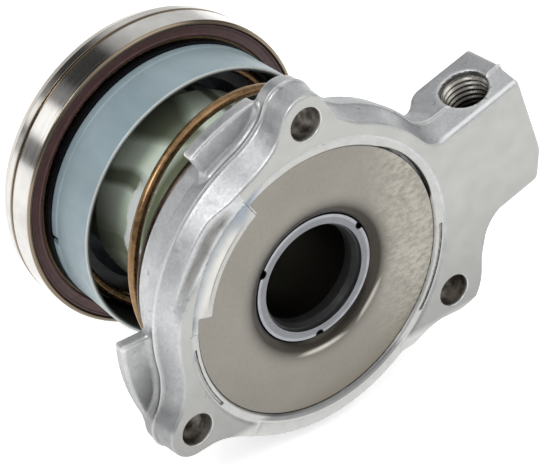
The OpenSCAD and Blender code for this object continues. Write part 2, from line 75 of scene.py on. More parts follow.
mounts = {m["name"]: m for m in frame["record"]["mounts"]}
MM = 0.001

# Camera, solved from the circles in the photograph
IMAGE_WIDTH_PX = 547
FOCAL_PX = 3180
SENSOR_MM = 36
CAMERA_PLACE = Vector((-0.27965, -0.40611, 0.36623))
CAMERA_RIGHT = Vector((0.79345, -0.60228, -0.08748))
CAMERA_UP = Vector((0.40999, 0.42275, 0.80819))

# Angles are seen from the mounting side, counted from +X towards +Z
BOLT_ANGLES = (90, 210, 330)
ARM_ANGLE = 14.5


def extent(node):
    """Outer radius, nearest and farthest station of a turned node, in mm."""
    low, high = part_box(node)
    return high.x / MM, low.y / MM, high.y / MM


# Meshes


def placed(name, data):
    """A new object in the scene."""
    obj = bpy.data.objects.new(name, data)
    bpy.context.scene.collection.objects.link(obj)
    return obj


def piece(name, points, faces, material, node=None, body="housing"):
    """A smooth mesh piece from points in mm that rides on a body and may stand for a CAD node."""
    mesh = bpy.data.meshes.new(name)
    mesh.from_pydata([tuple(p) for p in np.asarray(points, float) * MM], [], faces)
    mesh.validate()
    mesh.shade_smooth()
    mesh.materials.append(material)
    obj = placed(name, mesh)
    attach(obj, body)
    if node:
        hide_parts(node)
    return obj


def keep_flats(obj):
    """Lets large faces rule the shading, so that flats look flat beside rounded edges."""
    modifier = obj.modifiers.new("weighted_normals", "WEIGHTED_NORMAL")
    modifier.mode = "FACE_AREA"
    modifier.weight = 90
    return obj


# Share of an edge that a rounding may take, and half a corner's angle from which it counts as straight
LONGEST_ROUNDING = 0.48
NEARLY_STRAIGHT = 1.55


def rounded(profile, steps=5):
    """Closed profile of (radius, station, edge rounding) with its corners turned into arcs."""
    out = []
    count = len(profile)
    for i, (r, y, edge) in enumerate(profile):
        here = np.array((r, y), float)
        before = np.array(profile[i - 1][:2], float) - here
        after = np.array(profile[(i + 1) % count][:2], float) - here
        short = LONGEST_ROUNDING * min(np.linalg.norm(before), np.linalg.norm(after))
        before /= np.linalg.norm(before)
        after /= np.linalg.norm(after)
        half = 0.5 * math.acos(float(np.clip(before @ after, -1, 1)))
        if edge <= 0 or half > NEARLY_STRAIGHT:
            out.append(here)
            continue
        back = min(edge / math.tan(half), short)
        start, end = here + before * back, here + after * back
        for k in range(steps + 1):
            t = k / steps
            out.append((1 - t) ** 2 * start + 2 * t * (1 - t) * here + t * t * end)
    return np.array(out)


def ring_faces(rings, per_ring, closed=True):
    """Quads between neighbouring rings of points; closed joins the last ring to the first."""
    faces = []
    for k in range(rings if closed else rings - 1):
        a, b = k * per_ring, (k + 1) % rings * per_ring
        for i in range(per_ring):
            n = (i + 1) % per_ring
            faces.append((a + i, a + n, b + n, b + i))
    return faces


def lathe(name, profile, material, node, body, segments=192, steps=5):
    """Turns a closed profile about the shaft axis."""
    section = rounded(profile, steps)
    turn = np.linspace(0, 2 * math.pi, segments, endpoint=False)
    r, y = section.T
    rows = (np.outer(np.cos(turn), r), np.tile(y, (segments, 1)), np.outer(np.sin(turn), r))
    points = np.stack(rows, axis=-1).reshape(-1, 3)
    faces = ring_faces(segments, len(section))
    return keep_flats(piece(name, points, faces, material, node, body))


# Solid fields: negative inside, positive outside, in mm


def join(a, b, fillet):
    """Union with a round fillet."""
    inner = np.hypot(np.maximum(fillet - a, 0), np.maximum(fillet - b, 0))
    return np.maximum(fillet, np.minimum(a, b)) - inner


def meet(a, b, edge):
    """Intersection with a rounded edge."""
    outer = np.hypot(np.maximum(edge + a, 0), np.maximum(edge + b, 0))
    return np.minimum(-edge, np.maximum(a, b)) + outer


def cut(a, b, edge):
    """Takes b out of a and rounds the edge."""
    return meet(a, -b, edge)


def along(x, z, angle):
    """Coordinates outwards and sideways (counted upwards) in a direction across the shaft."""
    c, s = math.cos(math.radians(angle)), math.sin(math.radians(angle))
    return x * c + z * s, z * c - x * s


def between(x, z, span):
    """Field of a sector between two angles less than half a turn apart."""
    return np.maximum(-along(x, z, span[0])[1], along(x, z, span[1])[1])


def eased(share):
    """Smooth rise from 0 to 1."""
    share = np.clip(share, 0, 1)
    return share * share * (3 - 2 * share)


def tapered(u, v, near, near_r, far, far_r):
    """Field of the hull of two circles on a line."""
    v = np.abs(v)
    u = u - near
    length = far - near
    b = (near_r - far_r) / length
    a = math.sqrt(1 - b * b)
    k = a * u - b * v
    sides = a * v + b * u - near_r
    ends = np.where(k < 0, np.hypot(u, v) - near_r, np.hypot(u - length, v) - far_r)
    return np.where((k >= 0) & (k <= a * length), sides, ends)


# Housing: a die casting with machined faces. Lengths are in mm and angles in degrees

FLANGE_FRONT_R = 33.9
FLANGE_R = 35.6
FLANGE_BACK_R = 35.2
FLANGE_DEPTH = 10.0
FLANGE_EDGE = 0.8
PARTING_DEPTH = 6.0
PARTING_RIDGE = 0.24
PARTING_WIDTH = 0.34
PARTING_STEP = 0.22
RIDGE_ROOM = 0.24
EAR_DEPTH = 9.4
EAR_TIP_R = 5.9
EAR_TIP_CENTRE = 38.0
EAR_ROOT_R = 12.0
EAR_ROOT_CENTRE = 24.0
EAR_FILLET = 4.0
EAR_EDGE = 1.0
DRAFT = 0.045
WEB_R = 42.8
WING_R = 41.7
WING_FRONT = 7.6
WING_BACK = 10.4
WING_ROOT_R = 34.7
WING_FILLET = 1.5
WING_EDGE = 0.5
WING_END_EDGE = 0.6
WING_SPANS = ((98, 121), (177, 205))
ARM_REACH = 56.2
ARM_UPPER = 10.6
ARM_LOWER = 16.8
ARM_ROOT = 22.0
ARM_DEPTH = 15.5
ARM_ROOT_DEPTH = 12.0
ARM_SHOULDER = 40.0
ARM_CORNER = (7.0, 3.0)
ARM_FILLET = 3.8
ARM_UPPER_EDGE = 1.1
ARM_TIP_EDGE = 0.5
ARM_END_EDGE = 0.7
ARM_LOWER_EDGE = 1.3
ARM_SLOPE_EDGE = 1.5
ARM_BACK_EDGE = 1.0
ARM_BACK_FILLET = 1.0
PORT_SIDE_DRAFT = 0.1
FLASH_BUMPS = ((9.8, 3.6, 0.2),)
FLASH_FILLET = 0.4
PORT_STATION = 47.2
PORT_HEIGHT = 7.2
PORT_MAJOR_R = 5.0
PORT_CORE_R = mounts["hydraulic_port"]["dims"]["r_mm"]
PORT_LENGTH = 15.0
PORT_CHAMFER = 0.6
PORT_EDGE = 0.3
PORT_LEAD = 1.9
PORT_PITCH = 1.25
GALLERY_R = 1.2
GALLERY_FLOOR = 5.3
BOSS_R = 31.0
BOSS_END = 17.5
BOSS_EDGE = 0.5
BOSS_FILLET = 1.2
COLLAR_R = 24.46
COLLAR_END = 23.8
COLLAR_EDGE = 0.4
COLLAR_FILLET = 0.6
BORE_R = 21.06
BORE_EDGE = 0.3
PLATE_R = 28.82
PLATE_FRONT = 0.9
PLATE_BACK = 2.4
RECESS_EDGE = 0.2
CRIMP_R = 26.2
CRIMP_LAND = 1.1
CRIMP_SPAN = (119, 168)
CRIMP_MIDDLE = 143.5
LIP_R = 30.6
LIP_SLOPE = 0.9
LIP_STEP = 0.35
LIP_CHAMFER = 0.8
LIP_LEAN = 0.6
GAP_SPAN = (12, 56)
GAP_WIDTH = 0.75
GAP_EDGE = 0.15
FACE_RELIEF = 1.8
RELIEF_RUN = 1.2
RELIEF_SHIFT = 3.6
RELIEF_RISE = 9
RELIEF_FADE = 16
RELIEF_EASE = 4
RELIEF_EDGE = 0.4
LEFT_RELIEF = (120, 174)
LOWER_RELIEF = (233, 310)
LOWER_MIDDLE = 271.5
STAKE_R = 30.15
STAKE_WIDTH = 0.3
STAKE_DEPTH = 0.75
STAKE_EDGE = 0.08
STAKE_SPANS = ((181, 212), (321, 358))
O_RING_R = 24.2
O_RING_GROOVE = (1.1, 1.2)
WIPER_GROOVE = (1.5, 22.3, 0.7)
BOLT_R = mounts["flange_bolts"]["dims"]["hole_r_mm"]
BOLT_CIRCLE_R = mounts["flange_bolts"]["dims"]["pcd_mm"] / 2
BOLT_EDGE = 0.35
FACE_EDGE = 0.5
COS_45 = math.sqrt(0.5)

# Grid of the housing's field: lengths in mm, the margin in cells
HOUSING_CELL = 0.38
GRID_MARGIN = 3
FIELD_REACH = 2.0
FLAT_TOLERANCE = 0.006
SETTLE_STEP = 0.2
LEAST_STEEPNESS = 0.25
NORMAL_PROBE = 0.02


def drafted(plan, y):
    """Widest at the parting line, with the fine ridge that a die leaves there."""
    off = y - PARTING_DEPTH
    shift = PARTING_STEP * eased(-off / PARTING_WIDTH)
    ridge = PARTING_RIDGE * np.exp(-((off / PARTING_WIDTH) ** 2))
    return plan + RIDGE_ROOM + DRAFT * np.abs(off) + shift - ridge


def flange_wall(r, y):
    """The flange's rim, steeper in front of the parting line than behind it."""
    off = y - PARTING_DEPTH
    front = FLANGE_FRONT_R + (FLANGE_R - FLANGE_FRONT_R) * y / PARTING_DEPTH
    front = front - PARTING_STEP * eased(-off / PARTING_WIDTH)
    back = FLANGE_R + (FLANGE_BACK_R - FLANGE_R) * off / (FLANGE_DEPTH - PARTING_DEPTH)
    ridge = PARTING_RIDGE * np.exp(-((off / PARTING_WIDTH) ** 2))
    return r - np.minimum(front, back) - ridge


def arm(x, y, z):
    """The port arm, with its cut lower corner and the slope behind it."""
    s, t = along(x, z, ARM_ANGLE)
    end, side = ARM_CORNER
    slant = ((s - ARM_REACH) * end - (t + ARM_LOWER - end) * side) / math.hypot(end, side)
    port_side = drafted(t - ARM_UPPER, y) + PORT_SIDE_DRAFT * np.maximum(PARTING_DEPTH - y, 0)
    port_side = meet(port_side, -y - FACE_EDGE, ARM_UPPER_EDGE + FACE_EDGE)
    tip = meet(drafted(s - ARM_REACH, y), drafted(slant, y), ARM_TIP_EDGE)
    plan = meet(port_side, tip, ARM_END_EDGE)
    plan = meet(plan, drafted(-t - ARM_LOWER, y), ARM_LOWER_EDGE)
    slope = (y - ARM_DEPTH - (s - ARM_SHOULDER)) * COS_45
    back = meet(y - ARM_DEPTH, slope, ARM_SLOPE_EDGE)
    back = join(back, y - ARM_ROOT_DEPTH, ARM_BACK_FILLET)
    solid = np.maximum(meet(plan, back, ARM_BACK_EDGE), ARM_ROOT - s)
    for station, height, size in FLASH_BUMPS:
        bump = np.sqrt((s - ARM_REACH) ** 2 + (t - station) ** 2 + (y - height) ** 2) - size
        solid = join(solid, bump, FLASH_FILLET)
    return solid


def casting(x, y, z):
    """The rough casting before machining."""
    r = np.hypot(x, z)
    rim = flange_wall(r, y)
    ears = None
    for angle in BOLT_ANGLES:
        s, t = along(x, z, angle)
        ear = tapered(s, t, EAR_ROOT_CENTRE, EAR_ROOT_R, EAR_TIP_CENTRE, EAR_TIP_R)
        ears = ear if ears is None else np.minimum(ears, ear)
    web = np.maximum(r - WEB_R, between(x, z, (BOLT_ANGLES[2] - 360, ARM_ANGLE)))
    plan = join(drafted(join(ears, web, EAR_FILLET), y), rim, EAR_FILLET)
    solid = meet(plan, y - EAR_DEPTH, EAR_EDGE)
    solid = np.minimum(solid, meet(rim, y - FLANGE_DEPTH, FLANGE_EDGE))
    solid = join(solid, arm(x, y, z), ARM_FILLET)
    for span in WING_SPANS:
        plate = meet(r - WING_R, np.maximum(y - WING_BACK, WING_FRONT - y), WING_EDGE)
        plate = meet(np.maximum(plate, WING_ROOT_R - r), between(x, z, span), WING_END_EDGE)
        solid = join(solid, plate, WING_FILLET)
    solid = join(solid, meet(r - BOSS_R, y - BOSS_END, BOSS_EDGE), BOSS_FILLET)
    return join(solid, meet(r - COLLAR_R, y - COLLAR_END, COLLAR_EDGE), COLLAR_FILLET)


def faced(x, y, z, solid):
    """The mounting face, with the lip and the sunk parts beside it."""
    r = np.hypot(x, z)
    left, lower = between(x, z, LEFT_RELIEF), between(x, z, LOWER_RELIEF)
    solid = meet(solid, -y, FACE_EDGE)
    lip = LIP_STEP * np.clip((LIP_R + LIP_CHAMFER - r) / LIP_CHAMFER, 0, 1)
    solid = np.maximum(solid, np.minimum(lip - y, left))
    sunk = FACE_RELIEF * eased(along(x, z, LEFT_RELIEF[0])[1] / RELIEF_RISE)
    inner = LIP_R + RELIEF_SHIFT * (1 - eased(-along(x, z, LEFT_RELIEF[1])[1] / RELIEF_FADE))
    step = np.maximum(inner - r, y - sunk * np.clip((r - inner) / RELIEF_RUN, 0, 1))
    slope_run = LIP_R - CRIMP_R - CRIMP_LAND
    fall = LIP_SLOPE * eased(-left / RELIEF_EASE) * (r - CRIMP_R - CRIMP_LAND)
    slope = (y * slope_run - fall) / math.hypot(slope_run, LIP_SLOPE)
    taken = np.minimum(step, np.maximum(slope, r - LIP_R))
    solid = cut(solid, np.maximum(taken, left), RELIEF_EDGE)
    sunk = FACE_RELIEF * eased(-lower / RELIEF_EASE)
    step = np.maximum(LIP_R - r, y - sunk)
    return cut(solid, np.maximum(step, lower), RELIEF_EDGE)


def recessed(x, y, z, solid):
    """The plate's recess with the crimp over it, the narrow gap beside the plate and the stakes."""
    r = np.hypot(x, z)
    crimp = np.maximum(np.maximum(CRIMP_R - r, y - PLATE_FRONT), between(x, z, CRIMP_SPAN))
    lean = LIP_LEAN * np.clip(PLATE_FRONT - y, 0, PLATE_FRONT)
    recess = np.maximum(np.maximum(r - PLATE_R - lean, y - PLATE_BACK), -crimp)
    solid = cut(solid, recess, RECESS_EDGE)
    turn = np.degrees(np.arctan2(z, x))
    share = np.clip((turn - GAP_SPAN[0]) / (GAP_SPAN[1] - GAP_SPAN[0]), 0, 1)
    gap = GAP_WIDTH * np.sqrt(np.maximum(4 * share * (1 - share), 0))
    opened = np.maximum(np.maximum(r - PLATE_R - gap, y - PLATE_BACK), between(x, z, GAP_SPAN))
    solid = cut(solid, opened, GAP_EDGE)
    for span in STAKE_SPANS:
        groove = np.maximum(np.abs(r - STAKE_R) - STAKE_WIDTH, y - STAKE_DEPTH)
        solid = cut(solid, np.maximum(groove, between(x, z, span)), STAKE_EDGE)
    return solid


def bored(x, y, z, solid):
    """The cylinder bore with its two seal grooves, and the bolt holes."""
    r = np.hypot(x, z)
    solid = cut(solid, r - BORE_R, BORE_EDGE)
    half, depth = O_RING_GROOVE
    solid = np.maximum(solid, -np.maximum(np.abs(r - O_RING_R) - half, y - PLATE_BACK - depth))
    depth, middle, half = WIPER_GROOVE
    solid = np.maximum(solid, -np.maximum(r - BORE_R - depth, np.abs(y - middle) - half))
    for angle in BOLT_ANGLES:
        s, t = along(x, z, angle)
        solid = cut(solid, np.hypot(s - BOLT_CIRCLE_R, t) - BOLT_R, BOLT_EDGE)
    return solid


def ported(x, y, z, solid):
    """The hydraulic port and the gallery that leads from it to the bore."""
    s, t = along(x, z, ARM_ANGLE)
    port = np.hypot(s - PORT_STATION, y - PORT_HEIGHT)
    mouth = (port - PORT_MAJOR_R - PORT_CHAMFER + (ARM_UPPER - t)) * COS_45
    mouth = np.maximum(mouth, t - ARM_UPPER - PORT_CHAMFER)
    drilled = np.maximum(port - PORT_MAJOR_R, ARM_UPPER - PORT_LENGTH - t)
    solid = cut(solid, np.minimum(drilled, mouth), PORT_EDGE)
    rise = (PORT_HEIGHT + GALLERY_R - GALLERY_FLOOR) / (PORT_STATION - BORE_R)
    gallery = np.hypot(t, (y - GALLERY_FLOOR - rise * (s - BORE_R))) - GALLERY_R
    gallery = np.maximum(gallery, np.maximum(s - PORT_STATION, -s))
    return np.maximum(solid, -gallery)


def housing_field(x, y, z):
    """Signed field of the finished housing: the casting, then each machining step."""
    solid = casting(x, y, z)
    for step in (faced, recessed, bored, ported):
        solid = step(x, y, z, solid)
    return solid


def slope_of(points, probe=0.04):
    """Gradient of the housing's field."""
    parts = []
    for axis in np.eye(3) * probe:
        parts.append(housing_field(*(points + axis).T) - housing_field(*(points - axis).T))
    return np.stack(parts, axis=-1) / (2 * probe)


def settle(points, rounds=2):
    """Moves points along the field's slope onto its surface."""
    for _ in range(rounds):
        slope = slope_of(points)
        steep = np.maximum((slope**2).sum(1), LEAST_STEEPNESS)
        step = np.clip(housing_field(*points.T) / steep, -SETTLE_STEP, SETTLE_STEP)
        points = points - step[:, None] * slope
    return points


def stations(low, high):
    """Grid stations along the axis, close together at the front edges and at the parting line."""
    bands = (
        (low, -0.1, 0.3),
        (-0.1, 1.3, 0.14),
        (1.3, 5.2, 0.33),
        (5.2, 6.8, 0.12),
        (6.8, 10.8, 0.28),
        (10.8, high, 0.42),
    )
    return np.concatenate([np.arange(start, end - 1e-6, step) for start, end, step in bands])


def housing(material):
    """The casting as one mesh from its field."""
    cell = HOUSING_CELL
    low = [v / MM - GRID_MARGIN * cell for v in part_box("housing")[0]]
    high = [v / MM + GRID_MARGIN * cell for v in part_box("housing")[1]]
    axes = [np.arange(low[0], high[0], cell), stations(low[1], high[1]), np.arange(low[2], high[2], cell)]
    x, y, z = np.meshgrid(*(a.astype("f4") for a in axes), indexing="ij", sparse=True)
    field = np.clip(housing_field(x, y, z), -FIELD_REACH, FIELD_REACH)
    grid = openvdb.FloatGrid(FIELD_REACH)
    grid.copyFromArray(field.astype("f4"))
    cells, triangles, quads = grid.convertToPolygons(0.0, FLAT_TOLERANCE)
    places = [np.interp(cells[:, i], np.arange(len(axes[i])), axes[i]) for i in range(3)]
    points = settle(np.stack(places, axis=-1))
    faces = [tuple(f) for f in quads] + [tuple(f) for f in triangles]
    obj = piece("die_cast_housing", points, faces, material, "housing", "housing")
    normals = slope_of(points, NORMAL_PROBE)
    normals /= np.maximum(np.linalg.norm(normals, axis=1, keepdims=True), 1e-6)
    obj.data.normals_split_custom_set_from_vertices([tuple(n) for n in normals])
    return obj


# Port thread

THREAD_RUNOUT = 0.6
THREAD_FLANK = 2.6
THREAD_FLAT = 0.15
THREAD_ROOM = 0.04


def port_thread(material):
    """A threaded lining in the port, with its crests at the core diameter."""
    around, per_pitch = 96, 12
    top = ARM_UPPER - PORT_LEAD
    bottom = ARM_UPPER - PORT_LENGTH + THREAD_RUNOUT
    rows = int((top - bottom) / PORT_PITCH * per_pitch)
    depth = np.linspace(top, bottom, rows + 1)
    turn = np.linspace(0, 2 * math.pi, around, endpoint=False)
    phase = (depth[:, None] / PORT_PITCH + turn[None, :] / (2 * math.pi)) % 1
    flank = np.clip(THREAD_FLANK * np.abs(phase - 0.5) - THREAD_FLAT, 0, 1)
    radius = PORT_CORE_R + (PORT_MAJOR_R - THREAD_ROOM - PORT_CORE_R) * flank
    radius = np.vstack([np.full(around, PORT_MAJOR_R), radius, np.full(around, PORT_MAJOR_R)])
    depth = np.concatenate([[top], depth, [bottom]])
    c, s = math.cos(math.radians(ARM_ANGLE)), math.sin(math.radians(ARM_ANGLE))
    out = PORT_STATION + radius * np.cos(turn)
    side = np.broadcast_to(depth[:, None], radius.shape)
    points = np.stack([out * c - side * s, PORT_HEIGHT + radius * np.sin(turn), out * s + side * c], axis=-1)
    faces = ring_faces(len(depth), around)
    thread = piece("port_thread", points.reshape(-1, 3), faces, material)
    return thread


# Preload spring

WIRE_R = 1.1
SPRING_SEAT_R = 29.2
SPRING_CUP_R = 26.0
SPRING_TURNS = 1.15
SPRING_TAKEOFF = 236
FLAT_SWEEP = 318
EASE_SWEEP = 40
WIRE_END = 0.82


def climb(sweep):
    """Share of the spring's rise after a sweep in degrees, eased at both ends of the climb."""
    total = SPRING_TURNS * 360
    t = np.clip(sweep - FLAT_SWEEP, 0, total)
    ease = EASE_SWEEP
    early = t * t / (2 * ease)
    steady = t - ease / 2
    late = total - ease - (total - t) ** 2 / (2 * ease)
    risen = np.where(t < ease, early, np.where(t > total - ease, late, steady))
    return risen / (total - ease)


def wire_path(sweep, seat_y, cup_y):
    """Centre of the wire after a sweep in degrees."""
    share = climb(sweep)
    r = SPRING_SEAT_R + (SPRING_CUP_R - SPRING_SEAT_R) * share
    a = np.radians(SPRING_TAKEOFF + FLAT_SWEEP - sweep)
    return np.stack([r * np.cos(a), seat_y + (cup_y - seat_y) * share, r * np.sin(a)], axis=-1)


def spring(material):
    """Conical spring with flat end coils."""
    low, high = (v.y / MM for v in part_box("preload_spring"))
    seat_y, cup_y = low + WIRE_R, high - WIRE_R
    sides, rings = 20, 420
    sweep = np.linspace(0, 2 * FLAT_SWEEP + SPRING_TURNS * 360, rings)
    centre = wire_path(sweep, seat_y, cup_y)
    probe = 0.5
    ahead = wire_path(sweep + probe, seat_y, cup_y) - wire_path(sweep - probe, seat_y, cup_y)
    ahead /= np.linalg.norm(ahead, axis=1, keepdims=True)
    out = centre * (1, 0, 1)
    out -= (out * ahead).sum(1, keepdims=True) * ahead
    out /= np.linalg.norm(out, axis=1, keepdims=True)
    side = np.cross(ahead, out)
    turn = np.linspace(0, 2 * math.pi, sides, endpoint=False)
    rim = np.cos(turn)[None, :, None] * out[:, None] + np.sin(turn)[None, :, None] * side[:, None]
    scale = np.ones(rings)
    scale[[0, -1]] = WIRE_END
    points = centre[:, None] + WIRE_R * scale[:, None, None] * rim
    faces = [(a, d, c, b) for a, b, c, d in ring_faces(rings, sides, closed=False)]
    last = (rings - 1) * sides
    faces.append(tuple(range(sides)))
    faces.append(tuple(last + i for i in reversed(range(sides))))
    wire = piece("conical_spring", points.reshape(-1, 3), faces, material, "preload_spring")
    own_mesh(wire)
    return wire


# Turned and pressed pieces


def guide_sleeve(material):
    """Sheet sleeve: the plate, the bell mouth and the tube with the stop ring's groove."""
    plate_r, front, end = extent("guide_sleeve")
    tube_r, tube_in_r, sheet = 14.5, 13.7, 1.5
    groove_r, groove_start, groove_end = 14.1, 41.6, 42.8
    back = front + sheet
    bell_run, bell_depth, bell_steps = 5.6, 2.3, 10
    bell = []
    for k in range(bell_steps + 1):
        a = math.radians(90 * k / bell_steps)
        bell.append((tube_in_r + bell_run * (1 - math.sin(a)), front + bell_depth * (1 - math.cos(a)), 0))
    profile = [
        (plate_r, back, 0.1),
        (plate_r, front, 0.3),
        *bell,
        (tube_in_r, end, 0.1),
        (tube_r, end, 0.2),
        (tube_r, groove_end, 0),
        (groove_r, groove_end, 0),
        (groove_r, groove_start, 0),
        (tube_r, groove_start, 0),
        (tube_r, back, 1.2),
    ]
    return lathe("pressed_sleeve", profile, material, "guide_sleeve", "housing", steps=7)


def piston(material):
    """Annular piston with a nose that the bearing clips into."""
    barrel_r, rear, front = extent("piston")
    barrel_end, nose_r, nose_bore_r, bore_r, guide_end = 47.0, 19.0, 16.6, 14.56, 41.5
    hook_start, hook_end, hook_r = front - 3.0, front - 2.0, nose_bore_r + 0.55
    profile = [
        (bore_r, rear, 0.2),
        (barrel_r, rear, 0.3),
        (barrel_r, barrel_end, 0.8),
        (nose_r, barrel_end, 0.3),
        (nose_r, front, 0.6),
        (nose_bore_r, front, 0.2),
        (nose_bore_r, hook_end, 0),
        (hook_r, hook_end, 0),
        (hook_r, hook_start, 0),
        (nose_bore_r, hook_start, 0),
        (nose_bore_r, guide_end, 0.3),
        (bore_r, guide_end, 0.2),
    ]
    return lathe("annular_piston", profile, material, "piston", "piston")


def carve(obj, cutter):
    """Takes a cutter out of a piece for good."""
    modifier = obj.modifiers.new("carve", "BOOLEAN")
    modifier.object = cutter
    modifier.operation = "DIFFERENCE"
    modifier.solver = "EXACT"
    bpy.context.view_layer.update()
    mesh = bpy.data.meshes.new_from_object(obj.evaluated_get(bpy.context.evaluated_depsgraph_get()))
    obj.modifiers.clear()
    obj.data = mesh
    bpy.data.objects.remove(cutter)
    return keep_flats(obj)


def block(centre, half):
    """A plain cutter from its centre and half sizes, in mm."""
    corners = [(a, b, c) for a in (-1, 1) for b in (-1, 1) for c in (-1, 1)]
    points = [tuple((centre[i] + k[i] * half[i]) * MM for i in range(3)) for k in corners]
    faces = [(0, 1, 3, 2), (4, 6, 7, 5), (0, 4, 5, 1), (2, 3, 7, 6), (0, 2, 6, 4), (1, 5, 7, 3)]
    mesh = bpy.data.meshes.new("cutter")
    mesh.from_pydata(points, [], faces)
    return placed("cutter", mesh)


def spring_cup(material):
    """Pressed cup with a bead at its floor and one notch."""
    rim_r, rim, back = extent("spring_cup")
    floor_r, hole_r, sheet = 29.4, 22.6, 1.0
    bead = 0.18
    profile = [
        (rim_r - sheet, rim, 0.25),
        (rim_r, rim, 0.4),
        (floor_r + 0.1, back - 2.6, 0.5),
        (floor_r + bead, back - 2.1, 0.4),
        (floor_r + bead / 2, back, 1.1),
        (hole_r, back, 0.1),
        (hole_r, back - sheet, 0.1),
        (floor_r - sheet, back - sheet, 0.8),
    ]
    cup = lathe("pressed_cup", profile, material, "spring_cup", "piston")
    notch_depth, notch_length, notch_width, out, past = 1.2, 2.4, 1.6, 0.4, 0.5
    centre = (-floor_r - out, back - notch_length / 2 + past, 0)
    half = (notch_depth, notch_length / 2 + past, notch_width / 2)
    return carve(cup, block(centre, half))


def bearing_outer_ring(material):
    """Outer ring with its race, its seal seat and a fine groove around it."""
    outer_r, rear, front = extent("bearing_outer_ring")
    seal_seat_r, shoulder_r, shoulder, ball_y, race, mouth_r = 32.7, 31.0, 52.9, 57.0, 60.28, 25.8
    pitch_r, chamfer = 28.7, 0.35
    groove_start, groove_end, groove_r, slant = 57.2, 58.0, outer_r - 0.4, 0.15
    profile = [
        (mouth_r, race, 0.1),
        (pitch_r, race, 1.6),
        (shoulder_r + 0.6, ball_y, 2.0),
        (shoulder_r, shoulder, 0.1),
        (seal_seat_r, shoulder, 0.1),
        (seal_seat_r, rear + chamfer, 0.1),
        (seal_seat_r + chamfer, rear, 0.1),
        (outer_r - chamfer, rear, 0.15),
        (outer_r, rear + 0.4, 0.25),
        (outer_r, groove_start, 0.1),
        (groove_r, groove_start + slant, 0.1),
        (groove_r, groove_end - slant, 0.1),
        (outer_r, groove_end, 0.1),
        (outer_r - 0.1, front - 2.9, 0.4),
        (outer_r - 0.85, front - 0.95, 1.2),
        (outer_r - 2.9, front, 0.8),
        (mouth_r + 0.5, front, 0.2),
        (mouth_r, front - 0.5, 0.2),
    ]
    return lathe("outer_ring", profile, material, "bearing_outer_ring", "bearing_outer", 256)


def rear_bearing_seal(material):
    """Moulded seal with a bead at either edge."""
    outer_r, rear, front = extent("rear_bearing_seal")
    inner_r, floor_y = 30.1, rear + 0.14
    profile = [
        (inner_r, rear + 0.2, 0.1),
        (inner_r + 0.25, rear, 0.1),
        (inner_r + 0.7, rear, 0.1),
        (inner_r + 0.85, floor_y, 0.1),
        (outer_r - 0.55, floor_y, 0.1),
        (outer_r - 0.4, rear, 0.1),
        (outer_r, rear, 0.15),
        (outer_r, front, 0.05),
        (inner_r, front, 0.05),
    ]
    return lathe("moulded_seal", profile, material, "rear_bearing_seal", "bearing_outer")


# Materials


